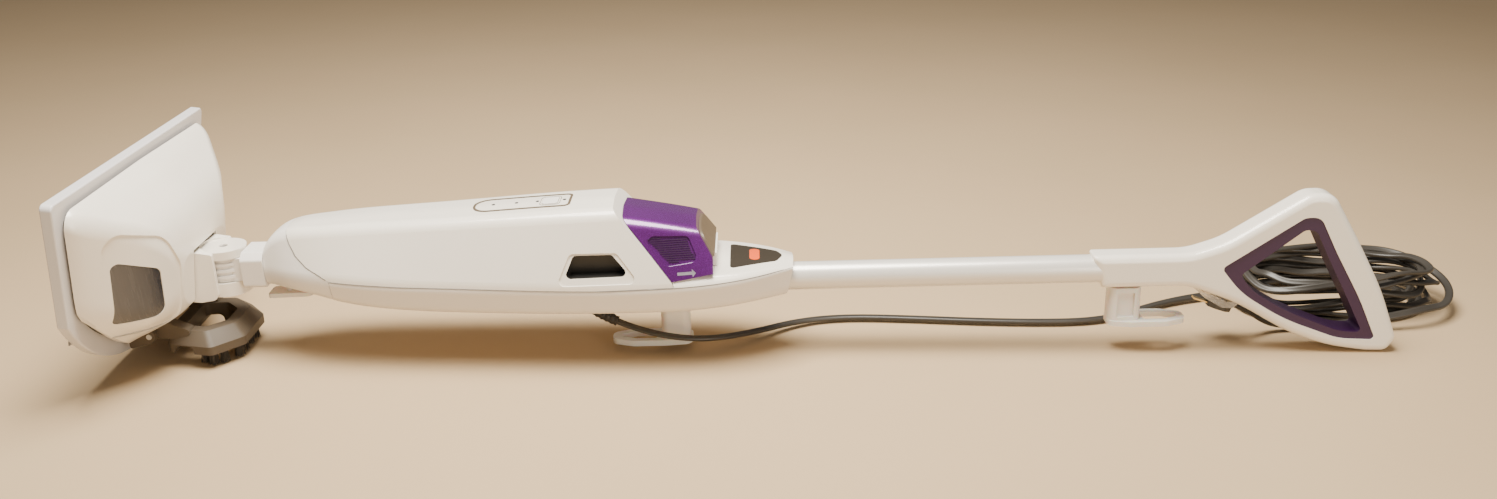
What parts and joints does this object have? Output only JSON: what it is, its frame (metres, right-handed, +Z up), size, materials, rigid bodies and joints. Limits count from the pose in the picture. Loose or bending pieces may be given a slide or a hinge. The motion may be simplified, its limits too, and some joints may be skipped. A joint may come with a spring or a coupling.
{
  "type": "upright steam mop",
  "caption": "Upright steam cleaner lying on its back, with a pivoting triangular head, fold-out scrubber, water tank, cord hooks, loop handle and loose mains cord.",
  "frame": {"origin": "centre of the machine's length and width on the surface it lies on, without its cord", "axes": "+X from the mop head to the handle, +Y across the machine, +Z up from the surface it lies on"},
  "size_m": [1.2837, 0.3378, 0.192],
  "materials": {
    "white_gloss": "glossy white moulding, warm",
    "white_satin": "satin white moulding",
    "rear_white": "satin off-white rear moulding",
    "taupe_gloss": "glossy taupe trim",
    "badge_brown": "glossy dark brown plate",
    "tank_purple": "translucent purple tank plastic",
    "grip_purple": "soft dark purple grip",
    "smoke_window": "smoky translucent window",
    "hook_beige": "pale grey-beige moulding",
    "clear_clip": "clear plastic",
    "sole_grey": "satin pale grey sole",
    "chassis_dark": "dark moulded plastic",
    "scrub_taupe": "matte taupe scrubber moulding",
    "bristle_dark": "dark nylon bristles",
    "tube_metal": "pale enamelled aluminium tube",
    "pin_steel": "plain steel",
    "cord_grey": "dark grey flat mains cord",
    "plug_black": "black moulded plug",
    "blade_brass": "plain brass",
    "cast_alu": "rough cast aluminium",
    "board_green": "green circuit board",
    "pump_black": "black moulded plastic",
    "hose_silicone": "milky silicone hose",
    "rubber_black": "black rubber",
    "led_amber": "small clear lens",
    "strip_grey": "hook-and-loop strip"
  },
  "bodies": {
    "main_body": {"front_cover": "white_gloss", "rear_shell": "rear_white", "deck_cover": "white_gloss", "badge_plate": "badge_brown", "lower_end_cap": "white_satin", "control_panel": "white_gloss", "panel_bezel": "taupe_gloss", "status_leds": "led_amber", "side_vent_left": "chassis_dark", "side_vent_right": "chassis_dark", "tank_socket": "pump_black", "neck_link": "white_satin", "wand_tube": "tube_metal", "handle_left": "white_gloss", "handle_right": "white_gloss", "grip_insert": "grip_purple", "lower_hook": "hook_beige", "cord_clip": "clear_clip", "cord_gland": "rubber_black", "boiler": "cast_alu", "thermostat": "pin_steel", "thermal_fuse": "pin_steel", "pump": "pump_black", "pump_feet": "rubber_black", "control_board": "board_green", "water_hose": "hose_silicone", "feed_hose": "hose_silicone", "steam_hose": "hose_silicone", "wiring_loom": "cord_grey", "case_screws": "pin_steel", "handle_screws": "pin_steel", "cord_lead": "cord_grey", "cord_coil": "cord_grey", "cord_tail": "cord_grey", "plug_body": "plug_black", "plug_blades": "blade_brass"},
    "neck": {"neck_yoke": "white_gloss", "swivel_pin": "pin_steel"},
    "foot": {"foot_cover": "white_gloss", "foot_window_left": "smoke_window", "foot_window_right": "smoke_window", "foot_pins": "pin_steel", "sole_plate": "sole_grey", "foot_chassis": "chassis_dark", "steam_manifold": "cast_alu", "pad_strips": "strip_grey", "scrubber_pin": "pin_steel", "scrubber_bracket_left": "chassis_dark", "scrubber_bracket_right": "chassis_dark"},
    "scrubber": {"scrubber_frame": "scrub_taupe", "scrubber_bristles": "bristle_dark"},
    "tank": {"tank_shell": "tank_purple", "tank_end_plate": "taupe_gloss", "tank_foot": "white_gloss"},
    "filler_cap": {"tank_cap": "grip_purple"},
    "valve": {"tank_valve": "white_satin"},
    "cord_hook": {"upper_hook": "hook_beige"},
    "button": {"steam_button": "white_satin"},
    "latch": {"release_latch": "hook_beige"}
  },
  "joints": [
    {"name": "neck_swivel", "type": "hinge", "parent": "main_body", "child": "neck", "pos_m": [-0.49099, 0, 0.08198], "axis": [-0.0262, 0, 0.9997], "range_deg": [-40, 40]},
    {"name": "foot_pitch", "type": "hinge", "parent": "neck", "child": "foot", "pos_m": [-0.52985, 0, 0.07596], "axis": [0, -1, 0], "range_deg": [-7, 22]},
    {"name": "scrubber_flip", "type": "hinge", "parent": "foot", "child": "scrubber", "pos_m": [-0.5495, 0, 0.032], "axis": [0, 1, 0], "range_deg": [0, 95]},
    {"name": "tank_slide", "type": "slide", "parent": "main_body", "child": "tank", "axis": [0.9997, 0, 0.0262], "range_m": [0, 0.12]},
    {"name": "cap_turn", "type": "hinge", "parent": "tank", "child": "filler_cap", "pos_m": [-0.09356, 0, 0.10889], "axis": [0.9997, 0, 0.0262], "range_deg": [0, 90]},
    {"name": "valve_push", "type": "slide", "parent": "filler_cap", "child": "valve", "axis": [0.9997, 0, 0.0262], "range_m": [0, 0.003], "stiffness_N_per_m": 300},
    {"name": "hook_turn", "type": "hinge", "parent": "main_body", "child": "cord_hook", "pos_m": [0.33417, 0, 0.04857], "axis": [-0.0262, 0, 0.9997], "range_deg": [0, 180]},
    {"name": "button_press", "type": "slide", "parent": "main_body", "child": "button", "axis": [0.0262, 0, -0.9997], "range_m": [0, 0.0008], "stiffness_N_per_m": 800},
    {"name": "latch_press", "type": "slide", "parent": "main_body", "child": "latch", "axis": [-0.0262, 0, 0.9997], "range_m": [0, 0.0015], "stiffness_N_per_m": 800}
  ]
}
